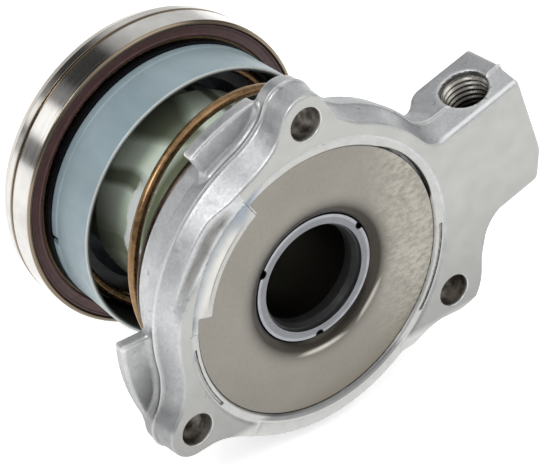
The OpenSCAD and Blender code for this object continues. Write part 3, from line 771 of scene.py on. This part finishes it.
class Look:
    """A material made of shader nodes."""

    def __init__(self, name, colour, roughness, metallic=0.0):
        self.material = bpy.data.materials.new(name)
        self.material.use_nodes = True
        self.tree = self.material.node_tree
        self.shader = self.tree.nodes["Principled BSDF"]
        self.place = self.add("ShaderNodeTexCoord").outputs["Object"]
        self.colour = tuple(colour)
        self.set("Base Color", (*colour, 1))
        self.set("Roughness", roughness)
        self.set("Metallic", metallic)

    def add(self, kind, inputs=None, **settings):
        """A new node with settings, and with inputs that are values or links."""
        node = self.tree.nodes.new(kind)
        for key, value in settings.items():
            setattr(node, key, value)
        for key, value in (inputs or {}).items():
            self.feed(node.inputs[key], value)
        return node

    def feed(self, socket, value):
        """Gives an input a value or a link."""
        if isinstance(value, bpy.types.NodeSocket):
            self.tree.links.new(value, socket)
        else:
            socket.default_value = value

    def set(self, socket, value):
        """Feeds a named input of the shader."""
        self.feed(self.shader.inputs[socket], value)

    def noise(self, per_mm, detail=4.0, roughness=0.6, stretch=(1, 1, 1)):
        """Noise with a number of spots per mm, stretched along the axes."""
        mapping = self.add("ShaderNodeMapping", {"Vector": self.place, "Scale": stretch})
        grain = {"Scale": per_mm / MM, "Detail": detail, "Roughness": roughness}
        node = self.add("ShaderNodeTexNoise", {"Vector": mapping.outputs["Vector"], **grain})
        return node.outputs["Fac"]

    def spread(self, fac, low, high, start=0.35, end=0.65):
        """Maps a share onto a range of values."""
        ends = {"From Min": start, "From Max": end, "To Min": low, "To Max": high}
        return self.add("ShaderNodeMapRange", {"Value": fac, **ends}).outputs["Result"]

    def maths(self, operation, a, b=0.0):
        """One sum with sockets or numbers."""
        return self.add("ShaderNodeMath", {0: a, 1: b}, operation=operation).outputs[0]

    def axis(self, name):
        """One coordinate of the place in mm."""
        node = self.add("ShaderNodeSeparateXYZ", {"Vector": self.place})
        return self.maths("MULTIPLY", node.outputs[name], 1 / MM)

    def radius(self):
        """Distance from the shaft axis in mm."""
        x, z = self.axis("X"), self.axis("Z")
        return self.maths("SQRT", self.maths("ADD", self.both(x, x), self.both(z, z)))

    def outwards(self, angle):
        """Distance from the shaft axis along a direction across it, in mm."""
        a = math.radians(angle)
        across = self.maths("MULTIPLY", self.axis("X"), math.cos(a))
        return self.maths("ADD", across, self.maths("MULTIPLY", self.axis("Z"), math.sin(a)))

    def spots(self, ring_r, angles):
        """Distance from the nearest of some spots on a ring around the shaft, in mm."""
        x, z = self.axis("X"), self.axis("Z")
        nearest = None
        for angle in angles:
            a = math.radians(angle)
            across = self.maths("SUBTRACT", x, ring_r * math.cos(a))
            up = self.maths("SUBTRACT", z, ring_r * math.sin(a))
            square = self.maths("ADD", self.both(across, across), self.both(up, up))
            nearest = square if nearest is None else self.maths("MINIMUM", nearest, square)
        return self.maths("SQRT", nearest)

    def gap(self, value, middle):
        """Distance of a value from a middle one."""
        return self.maths("ABSOLUTE", self.maths("SUBTRACT", value, middle))

    def both(self, *shares):
        """Product of shares."""
        total = shares[0]
        for share in shares[1:]:
            total = self.maths("MULTIPLY", total, share)
        return total

    def rise(self, value, start, end, most=1.0):
        """Share that grows from none to the most between two values."""
        return self.spread(value, 0, most, start, end)

    def fall(self, value, start, end, most=1.0):
        """Share that goes from the most to none between two values."""
        return self.spread(value, most, 0, start, end)

    def openness(self, reach_mm, **settings):
        """How open the surface is within a reach."""
        reach = {"Distance": reach_mm * MM}
        return self.add("ShaderNodeAmbientOcclusion", reach, samples=8, **settings).outputs["AO"]

    def crevice_shade(self, reach_mm, most):
        """Share of painted shade, which grows where the surface is sheltered."""
        return self.fall(self.openness(reach_mm), 0.45, 0.92, most)

    def edges(self, reach_mm, most):
        """Share that grows at outer edges, for painted highlights along them."""
        return self.fall(self.openness(reach_mm, inside=True), 0.5, 0.85, most)

    def blend(self, fac, first, second):
        """Mixes two colours, or colour sockets."""
        first, second = ((*v, 1) if isinstance(v, tuple) else v for v in (first, second))
        node = self.add("ShaderNodeMix", {"Factor": fac, 6: first, 7: second}, data_type="RGBA")
        return node.outputs[2]

    def mottled(self, pattern, first, second):
        """Two colours in the patches of a noise."""
        return self.blend(self.spread(pattern, 0, 1), first, second)

    def bump(self, height, depth_mm, strength):
        """Raises the surface by a height share, without moving it."""
        inputs = {"Height": height, "Distance": depth_mm * MM, "Strength": strength}
        self.set("Normal", self.add("ShaderNodeBump", inputs).outputs["Normal"])

    def finish(self, rough, low, high, height, depth_mm, strength):
        """Sets roughness by one noise and relief by another, and returns the material."""
        self.set("Roughness", self.spread(rough, low, high))
        self.bump(height, depth_mm, strength)
        return self.material


# Colour of the painted shade towards the casting's lower side
PAINTED_LOW_SHADE = (0.20, 0.20, 0.20)


def skin_colours(look, grain):
    """The casting's rough skin and its faced parts, with painted shade towards the lower side."""
    depth, radius, height = look.axis("Y"), look.radius(), look.axis("Z")
    skin = look.mottled(look.noise(0.1, 6, 0.65), (0.485, 0.497, 0.507), (0.575, 0.58, 0.58))
    skin = look.blend(look.spread(grain, 0.3, 0), skin, (0.25, 0.25, 0.255))
    specks = look.rise(look.noise(0.42, 2, 0.5), 0.68, 0.74, 0.55)
    skin = look.blend(specks, skin, (0.20, 0.195, 0.19))
    # Painted shade towards the bottom of the skin
    skin = look.blend(look.fall(height, -26, 8, 0.6), skin, PAINTED_LOW_SHADE)
    face = look.mottled(look.noise(0.25, 4, 0.7), (0.385, 0.385, 0.368), (0.435, 0.435, 0.415))
    colour = look.blend(look.fall(depth, 0.02, 0.12), skin, face)
    rolled = look.both(look.fall(radius, PLATE_R - 0.3, PLATE_R - 0.05), look.fall(depth, 1.2, 1.5))
    colour = look.blend(rolled, colour, (0.45, 0.445, 0.425))
    # Painted shade towards the bottom, over skin and faced parts alike
    return look.blend(look.fall(height, -36, 6, 0.75), colour, PAINTED_LOW_SHADE)


def crimp_colours(look, crimped, colour):
    """The rolled edge over the plate: painted shade on the sunk floor, a painted highlight and reflection
    across the slope and a painted shade line at the land.
    """
    depth, radius = look.axis("Y"), look.radius()
    land = CRIMP_R + CRIMP_LAND
    # Painted shade on the sunk floor beside the crimp
    sunk = look.both(
        look.rise(radius, LIP_R - 0.1, LIP_R + 0.3, 0.75),
        look.fall(radius, 32.4, 33.4),
        look.rise(depth, 0.4, 1.0),
        crimped,
    )
    colour = look.blend(sunk, colour, (0.25, 0.245, 0.235))
    slope = look.both(
        look.rise(radius, land, land + 0.2, 0.85),
        look.fall(radius, LIP_R - 0.1, LIP_R + 0.1),
        crimped,
    )
    # Painted highlight and bluish painted reflection across the slope, darker and bluer at its upper end
    slope_highlight = look.blend(look.rise(radius, 28.3, 30.3), (0.62, 0.61, 0.58), (0.30, 0.335, 0.365))
    upper_end_reflection = look.fall(look.outwards(LEFT_RELIEF[0] + 90), 2.5, 7, 0.8)
    slope_highlight = look.blend(upper_end_reflection, slope_highlight, (0.20, 0.245, 0.29))
    colour = look.blend(slope, colour, slope_highlight)
    # Painted shade line in the crease at the edge of the land
    line = look.both(look.fall(look.gap(radius, land), 0.06, 0.2, 0.7), crimped)
    return look.blend(line, colour, (0.18, 0.17, 0.16))


def lip_colours(look, colour):
    """The lip around the plate, with the crimp at the left and painted shade on the open wall below."""
    depth, radius = look.axis("Y"), look.radius()
    crimped = look.both(look.rise(look.outwards(CRIMP_MIDDLE), 25.5, 27), look.fall(depth, 2.2, 2.4))
    lip = look.both(
        look.fall(radius, LIP_R, LIP_R + 0.25),
        look.fall(depth, 1.2, 1.5),
        look.rise(radius, PLATE_R - 0.25, PLATE_R - 0.05),
        look.fall(crimped, 0, 1),
    )
    colour = look.blend(lip, colour, (0.46, 0.46, 0.445))
    colour = crimp_colours(look, crimped, colour)
    lower = look.both(look.rise(look.outwards(LOWER_MIDDLE), 23.5, 25), look.fall(depth, 2.3, 2.6))
    # Painted shade on the open wall between the plate and the lip at the lower side
    wall = look.both(
        look.rise(radius, PLATE_R - 0.1, PLATE_R + 0.1, 0.8),
        look.fall(radius, LIP_R - 0.7, LIP_R - 0.4),
        lower,
    )
    colour = look.blend(wall, colour, (0.17, 0.175, 0.18))
    band = look.both(look.rise(radius, LIP_R - 0.5, LIP_R - 0.2, 0.8), lower)
    return look.blend(band, colour, (0.56, 0.56, 0.545))


def shade_and_edge_highlights(look, colour):
    """Painted shade in hollows, and painted highlights along the outer edges and the arm's front edge."""
    depth, radius = look.axis("Y"), look.radius()
    # Painted shade in hollows and grooves
    colour = look.blend(look.crevice_shade(3.0, 0.65), colour, (0.12, 0.115, 0.11))
    # Painted highlight along the outer edges of the casting
    edge_highlight = look.both(
        look.edges(1.4, 0.8),
        look.rise(depth, 0.0, 0.3),
        look.rise(radius, LIP_R, LIP_R + 0.5),
    )
    colour = look.blend(edge_highlight, colour, (0.80, 0.80, 0.785))
    # Painted highlight along the rounded front edge on the arm's port side
    arm_edge_highlight = look.both(
        look.rise(look.outwards(ARM_ANGLE + 90), ARM_UPPER - 1.6, ARM_UPPER - 1.3, 0.85),
        look.fall(depth, 0.8, 1.3),
        look.rise(look.outwards(ARM_ANGLE), 34.5, 36.5),
    )
    return look.blend(arm_edge_highlight, colour, (0.80, 0.81, 0.81))


def hole_colours(look, colour):
    """Painted shade inside the bolt holes, mottled, and painted highlights on their chamfers."""
    depth = look.axis("Y")
    inside = look.fall(look.spots(BOLT_CIRCLE_R, BOLT_ANGLES), BOLT_R + 0.05, BOLT_R + 0.2)
    # Painted highlight on the chamfers of the bolt holes
    chamfer = look.both(inside, look.fall(depth, 0.4, 0.7, 0.9))
    colour = look.blend(chamfer, colour, (0.80, 0.80, 0.79))
    # Painted shade inside the bolt holes, mottled from dark to mid brown
    hole_shade = look.mottled(look.noise(0.3, 3), (0.085, 0.075, 0.063), (0.48, 0.44, 0.39))
    return look.blend(look.both(inside, look.rise(depth, 0.5, 1.2)), colour, hole_shade)


def cast_aluminium():
    """Satin casting skin, brighter where it is machined, with painted shade in the bolt holes, hollows and
    lower side and painted highlights at its edges.
    """
    look = Look("die_cast_aluminium", (0.56, 0.57, 0.58), 0.4, 1.0)
    grain = look.noise(1.5, 5, 0.7)
    colour = skin_colours(look, grain)
    for layer in (lip_colours, shade_and_edge_highlights, hole_colours):
        colour = layer(look, colour)
    look.set("Base Color", colour)
    dents = look.maths("MULTIPLY", look.noise(0.22, 3, 0.5), 1.2)
    return look.finish(look.noise(0.5), 0.38, 0.54, look.maths("ADD", grain, dents), 0.07, 0.45)


# Angle of the plate's browned edge; angle, strength and start of each painted highlight in the bell mouth
BROWNED_MIDDLE = 290
BELL_HIGHLIGHTS = ((269, 0.75, 15.1), (318, 0.55, 15.5))


def sleeve_steel():
    """Rolled sheet with a fine satin grain, browned at its lower edge, with painted shade towards the bottom
    and in the bell mouth and painted highlights there.
    """
    look = Look("rolled_sleeve_steel", (0.33, 0.30, 0.255), 0.36, 1.0)
    depth, radius = look.axis("Y"), look.radius()
    speckle = look.noise(1.1, 3, 0.7)
    weave = look.noise(0.7, 3, 0.6, (1, 1, 2.0))
    right = look.rise(look.axis("X"), 12, 22)
    sheet = look.mottled(look.noise(0.06), (0.205, 0.194, 0.171), (0.233, 0.219, 0.193))
    sheet = look.blend(look.spread(speckle, 0, 0.35), sheet, (0.30, 0.287, 0.257))
    sheet = look.blend(look.both(right, look.spread(weave, 0, 0.8)), sheet, (0.40, 0.38, 0.325))
    # Painted shade towards the bottom of the plate
    sheet = look.blend(look.fall(look.axis("Z"), -28, -6, 0.3), sheet, (0.13, 0.122, 0.105))
    browned = look.both(look.rise(radius, 24, 28.5, 0.5), look.rise(look.outwards(BROWNED_MIDDLE), 19, 25))
    sheet = look.blend(browned, sheet, (0.15, 0.128, 0.09))
    # Painted shade in the bell mouth
    bell = look.both(look.rise(depth, PLATE_FRONT, PLATE_FRONT + 0.6), look.fall(radius, 19.5, 21))
    sheet = look.blend(bell, sheet, (0.045, 0.04, 0.034))
    # Painted highlights on a ring in the bell mouth
    arc = look.both(look.rise(radius, 15.5, 16.0), look.fall(radius, 16.2, 16.8))
    for angle, strength, start in BELL_HIGHLIGHTS:
        bell_highlight = look.both(arc, look.rise(look.outwards(angle), start, 16, strength))
        sheet = look.blend(bell_highlight, sheet, (0.62, 0.59, 0.53))
    look.set("Base Color", sheet)
    relief = look.maths("ADD", speckle, look.both(weave, right))
    return look.finish(speckle, 0.28, 0.42, relief, 0.015, 0.22)


def bearing_steel():
    """Ground steel with browned edges."""
    look = Look("polished_bearing_steel", (0.60, 0.585, 0.56), 0.14, 1.0)
    rear, front = (v.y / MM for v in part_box("bearing_outer_ring"))
    depth = look.axis("Y")
    rings = look.noise(1.2, 2, 0.5, (0.02, 6, 0.02))
    steel = look.mottled(look.noise(0.15), (0.60, 0.585, 0.56), (0.50, 0.485, 0.455))
    browned = look.fall(depth, rear + 0.35, rear + 0.75)
    grooved = look.fall(look.gap(depth, rear + 6.1), 0.3, 0.75)
    steel = look.blend(look.maths("MAXIMUM", browned, grooved), steel, (0.22, 0.175, 0.125))
    front_edge = look.rise(depth, front - 3.2, front - 2.7)
    look.set("Base Color", look.blend(front_edge, steel, (0.42, 0.39, 0.34)))
    return look.finish(rings, 0.08, 0.2, rings, 0.004, 0.4)


def plated_cup():
    """Blue zinc plating outside, with painted shade inside the cup and at its left side, and a painted
    highlight on the rim.
    """
    look = Look("blue_plated_sheet", (0.30, 0.40, 0.44), 0.45, 0.2)
    depth = look.axis("Y")
    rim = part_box("spring_cup")[0].y / MM
    lean = look.maths("MULTIPLY", look.maths("SUBTRACT", depth, rim), 0.038)
    outside = look.rise(look.maths("ADD", look.radius(), lean), 29.2, 29.5)
    plating = look.noise(0.12, 4, 0.6, (1, 0.25, 1))
    blue = look.mottled(plating, (0.24, 0.32, 0.35), (0.28, 0.36, 0.39))
    # Painted shade at the cup's left side
    blue = look.blend(look.fall(look.axis("X"), -30, -17, 0.4), blue, (0.12, 0.16, 0.175))
    # Painted highlight along the rim
    blue = look.blend(look.fall(depth, rim + 0.12, rim + 0.3, 0.6), blue, (0.75, 0.76, 0.70))
    # Painted shade inside the cup
    look.set("Base Color", look.blend(outside, (0.03, 0.037, 0.037), blue))
    return look.finish(look.noise(0.4), 0.30, 0.46, look.noise(1.1, 3), 0.015, 0.25)


def piston_plastic():
    """Pale green with a deep gloss, painted shade and rippled dark painted reflections, and a ragged painted
    white highlight.
    """
    look = Look("glossy_moulded_plastic", (0.66, 0.79, 0.63), 0.2, 0.12)
    depth = look.axis("Y")
    green = look.mottled(look.noise(0.06, 2), (0.66, 0.79, 0.62), (0.77, 0.87, 0.75))
    around = look.maths("ARCTAN2", look.axis("Z"), look.axis("X"))
    wander = look.maths("MULTIPLY", look.noise(0.07, 0), 7)
    ripple = look.maths("SINE", look.maths("ADD", look.maths("MULTIPLY", around, 9), wander))
    # Painted dark reflections in ripples around the piston, and painted shade near the housing and towards
    # the bottom
    shade_and_reflection = look.both(look.rise(ripple, -0.1, 0.8, 0.85), look.rise(depth, 28, 33))
    shade_and_reflection = look.maths("MAXIMUM", shade_and_reflection, look.fall(depth, 30, 33.5, 0.95))
    shade_and_reflection = look.maths("MAXIMUM", shade_and_reflection, look.fall(look.axis("Z"), 2, 12, 0.75))
    colour = look.blend(shade_and_reflection, green, (0.10, 0.115, 0.06))
    ragged = look.maths("ADD", depth, look.maths("MULTIPLY", look.noise(0.35, 3), 5))
    # Painted white highlight in a ragged band on the left side
    white_highlight = look.both(
        look.rise(ragged, 33.6, 34.2),
        look.fall(ragged, 38.2, 39),
        look.fall(look.axis("X"), -17, -14, 0.9),
    )
    look.set("Base Color", look.blend(white_highlight, colour, (0.80, 0.83, 0.81)))
    return look.finish(look.noise(0.2, 3), 0.12, 0.22, look.noise(0.07, 2), 0.4, 0.3)


def spring_bronze():
    """Bronze-coloured wire with worn spots, and painted shade at its seat."""
    look = Look("bronze_spring_wire", (0.215, 0.128, 0.06), 0.3, 0.95)
    worn = look.noise(0.6)
    wire = look.blend(look.rise(worn, 0.45, 0.75), look.colour, (0.34, 0.22, 0.115))
    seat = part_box("preload_spring")[0].y / MM
    # Painted shade over the seat coil
    seat_shade = look.fall(look.axis("Y"), seat + 1.6, seat + 3.2, 0.92)
    look.set("Base Color", look.blend(seat_shade, wire, (0.02, 0.016, 0.014)))
    return look.finish(worn, 0.2, 0.36, look.noise(1.5, 3), 0.02, 0.3)


def tinted(name, colour, roughness, metallic, pattern, factor):
    """A look that varies between its colour and a multiple of it, in the patches of a noise."""
    look = Look(name, colour, roughness, metallic)
    other = tuple(factor * c for c in colour)
    look.set("Base Color", look.mottled(look.noise(*pattern), colour, other))
    return look


def rubber(name, colour):
    """Dull rubber."""
    look = tinted(name, colour, 0.5, 0.0, (0.5, 4), 1.5)
    return look.finish(look.noise(0.8, 3), 0.4, 0.6, look.noise(2.0, 3), 0.01, 0.4)


def sheet_steel(name, colour, low=0.24, high=0.42):
    """Bright steel with a roughness between two values."""
    look = tinted(name, colour, 0.3, 1.0, (0.3, 4), 0.82)
    return look.finish(look.noise(0.7), low, high, look.noise(2.2, 3), 0.006, 0.4)


def seal_case():
    """Bright sheet, with painted shade on the inner edge and the depth of the three notches in painted
    shadow.
    """
    look = Look("seal_case_steel", (0.33, 0.34, 0.36), 0.36, 1.0)
    case_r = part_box("shaft_seal_case")[1].x / MM
    notch = look.fall(look.spots(case_r, [angle + 60 for angle in BOLT_ANGLES]), 0.9, 1.1)
    sheet = look.mottled(look.noise(0.3), (0.33, 0.34, 0.36), (0.27, 0.28, 0.30))
    # Painted shade on the inner edge
    sheet = look.blend(look.fall(look.radius(), 12.95, 13.2, 0.8), sheet, (0.16, 0.165, 0.175))
    look.set("Base Color", look.blend(notch, sheet, (0.006, 0.006, 0.006)))
    return look.finish(look.noise(0.7), 0.3, 0.46, look.noise(2.2, 3), 0.006, 0.4)


def cut_thread():
    """Cut aluminium with painted shade that deepens down the port."""
    look = Look("cut_thread", (0.52, 0.50, 0.46), 0.25, 1.0)
    # Painted shade deeper down the port
    deep = look.fall(look.outwards(ARM_ANGLE + 90), ARM_UPPER - 8.5, ARM_UPPER - 3)
    metal = look.mottled(look.noise(0.5), (0.52, 0.50, 0.46), (0.40, 0.38, 0.34))
    look.set("Base Color", look.blend(deep, metal, (0.012, 0.011, 0.009)))
    return look.finish(look.noise(0.7), 0.2, 0.34, look.noise(2.0, 3), 0.006, 0.4)


def moulded(name, colour):
    """Plain moulded plastic."""
    look = tinted(name, colour, 0.45, 0.0, (0.3, 3), 0.85)
    return look.finish(look.noise(0.9, 3), 0.36, 0.54, look.noise(1.8, 3), 0.01, 0.4)


def dress(node, material):
    """Gives a CAD node its material."""
    nodes[node].data.materials.clear()
    nodes[node].data.materials.append(material)


# The object

SEAL_RUBBER = rubber("black_seal_rubber", (0.012, 0.012, 0.013))
SPRING_STEEL = sheet_steel("bright_spring_steel", (0.55, 0.55, 0.56))

housing(cast_aluminium())
port_thread(cut_thread())
guide_sleeve(sleeve_steel())
spring(spring_bronze())
piston(piston_plastic())
spring_cup(plated_cup())
bearing_outer_ring(bearing_steel())
rear_bearing_seal(rubber("red_brown_seal", (0.062, 0.026, 0.025)))
dress("shaft_seal_case", seal_case())
for node in ("shaft_seal_lip", "sleeve_o_ring", "piston_wiper", "piston_seal"):
    dress(node, SEAL_RUBBER)
for node in ("garter_spring", "stop_ring", "wave_washer"):
    dress(node, SPRING_STEEL)
dress("seal_support_ring", moulded("support_plastic", (0.55, 0.50, 0.41)))
dress("bearing_inner_ring", sheet_steel("dark_bearing_steel", (0.045, 0.048, 0.055), 0.26, 0.32))
dress("front_bearing_seal", sheet_steel("shield_steel", (0.25, 0.26, 0.28)))
dress("bearing_cage", moulded("cage_plastic", (0.45, 0.33, 0.16)))
dress("bearing_balls", sheet_steel("ball_steel", (0.70, 0.71, 0.72), 0.05, 0.12))
dress("retaining_clip", moulded("clip_plastic", (0.018, 0.02, 0.022)))

# Camera, floor and studio light

camera_data = bpy.data.cameras.new("camera")
camera_data.sensor_width = SENSOR_MM
camera_data.lens = FOCAL_PX * SENSOR_MM / IMAGE_WIDTH_PX
camera = placed("camera", camera_data)
camera_turn = Matrix((CAMERA_RIGHT, CAMERA_UP, CAMERA_RIGHT.cross(CAMERA_UP))).transposed()
camera.matrix_world = Matrix.Translation(CAMERA_PLACE) @ camera_turn.to_4x4()
bpy.context.scene.camera = camera

FLOOR_GAP = 0.0005
FLOOR_REACH = 6.0
FLOOR_GLOW = 0.6
ROOM_BLUE = 1.01
ROOM_BANDS = ((0.0, 0.9), (0.09, 0.85), (0.17, 0.3), (0.55, 0.34), (0.71, 0.65), (0.87, 1.0))
CARDS = (
    (-8, 42, 10, 18, 0.05),
    (42, 18, 20, 32, 0.88),
    (-38, 22, 7, 11, 1.7),
    (-43, 4, 3, 6, 0.2),
    (140, 42, 16, 28, 1.8),
)


def floor():
    """A pale floor, which glows a little, just under the lowest point."""
    level = cad_bounds[0][2] - FLOOR_GAP
    corners = ((-1, -1), (1, -1), (1, 1), (-1, 1))
    mesh = bpy.data.meshes.new("floor")
    mesh.from_pydata([(a * FLOOR_REACH, b * FLOOR_REACH, level) for a, b in corners], [], [(0, 1, 2, 3)])
    look = Look("pale_floor", (0.86, 0.86, 0.86), 0.9)
    look.set("Base Color", look.blend(look.noise(0.01, 2), look.colour, (0.87, 0.87, 0.868)))
    look.set("Emission Color", (1, 1, 1, 1))
    look.set("Emission Strength", FLOOR_GLOW)
    mesh.materials.append(look.material)
    ground = placed("floor", mesh)


def softbox(name, place, size, power, aim=(0, 0.025, 0)):
    """A large area light that looks at the object."""
    light = bpy.data.lights.new(name, "AREA")
    light.shape = "DISK"
    light.size = size
    light.energy = power
    lamp = placed(name, light)
    lamp.location = place
    lamp.rotation_euler = (Vector(aim) - Vector(place)).to_track_quat("-Z", "Y").to_euler()


def studio(strength, bands, cards):
    """Room light in bands of (height, level), with round cards of (turn, rise, inner, outer, level).

    A card's turn counts from +Y towards +X. Inner and outer are half angles of its soft edge.
    """
    world = bpy.data.worlds.new("studio")
    world.use_nodes = True
    tree = world.node_tree
    add, link = tree.nodes.new, tree.links.new
    place = add("ShaderNodeTexCoord")
    split = add("ShaderNodeSeparateXYZ")
    ramp = add("ShaderNodeValToRGB")
    link(place.outputs["Generated"], split.inputs["Vector"])
    link(split.outputs["Z"], ramp.inputs["Fac"])
    steps = ramp.color_ramp.elements
    for k, (height, level) in enumerate(bands):
        step = steps[k] if k < 2 else steps.new(height)
        step.position = height
        step.color = (level, level, level * ROOM_BLUE, 1)
    colour = ramp.outputs["Color"]
    for turn, rise, inner, outer, level in cards:
        a, b = math.radians(turn), math.radians(rise)
        near = add("ShaderNodeVectorMath")
        near.operation = "DOT_PRODUCT"
        flat = math.cos(b)
        near.inputs[1].default_value = (math.sin(a) * flat, math.cos(a) * flat, math.sin(b))
        link(place.outputs["Generated"], near.inputs[0])
        share = add("ShaderNodeMapRange")
        share.inputs["From Min"].default_value = math.cos(math.radians(outer))
        share.inputs["From Max"].default_value = math.cos(math.radians(inner))
        link(near.outputs["Value"], share.inputs["Value"])
        mix = add("ShaderNodeMix")
        mix.data_type = "RGBA"
        link(share.outputs["Result"], mix.inputs["Factor"])
        link(colour, mix.inputs[6])
        mix.inputs[7].default_value = (level, level, level, 1)
        colour = mix.outputs[2]
    link(colour, tree.nodes["Background"].inputs["Color"])
    tree.nodes["Background"].inputs["Strength"].default_value = strength
    bpy.context.scene.world = world


floor()
studio(strength=1.0, bands=ROOM_BANDS, cards=CARDS)
softbox("key", place=(-0.9, -0.1, 1.1), size=0.6, power=7)
bpy.context.scene.view_settings.view_transform = "Standard"
